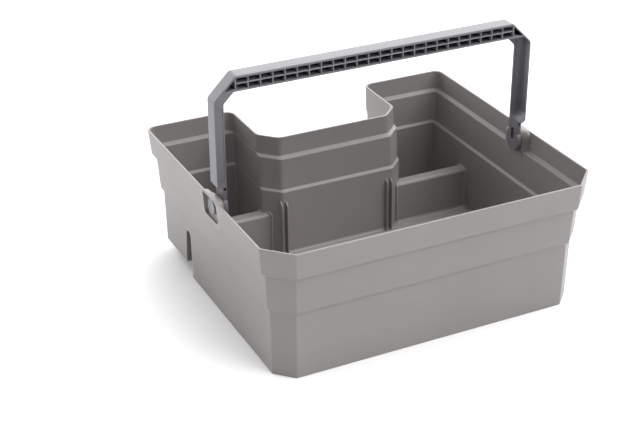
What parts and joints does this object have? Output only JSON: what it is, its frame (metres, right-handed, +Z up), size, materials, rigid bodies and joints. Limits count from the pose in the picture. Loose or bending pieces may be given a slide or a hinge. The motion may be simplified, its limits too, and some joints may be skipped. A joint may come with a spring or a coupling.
{
  "type": "carry caddy",
  "caption": "Open U-shaped carry caddy with stepped walls, low wing dividers, guide slots for a divider plate and a swinging bail handle with a ribbed grip.",
  "frame": {"origin": "centre of the bounding box's base, on the surface the tub stands on", "axes": "+X to the right across the tub, +Y from the front wall to the rear wings, +Z up"},
  "size_m": [0.39, 0.346, 0.2863],
  "materials": {
    "tub_plastic": "fine satin grain",
    "handle_plastic": "fine satin grain"
  },
  "bodies": {
    "tub": {"tub_shell": "tub_plastic", "left_wing_divider": "tub_plastic", "right_wing_divider": "tub_plastic", "rear_left_guide": "tub_plastic", "rear_right_guide": "tub_plastic", "front_left_guide": "tub_plastic", "front_right_guide": "tub_plastic", "left_pivot_pad": "tub_plastic", "right_pivot_pad": "tub_plastic"},
    "handle": {"grip_bar": "handle_plastic", "left_leg": "handle_plastic", "right_leg": "handle_plastic", "left_pivot_stud": "handle_plastic", "right_pivot_stud": "handle_plastic"}
  },
  "joints": [
    {"name": "handle_swing", "type": "hinge", "parent": "tub", "child": "handle", "pos_m": [0, -0.0206, 0.1415], "axis": [1, 0, 0], "range_deg": [-34, 90]}
  ]
}
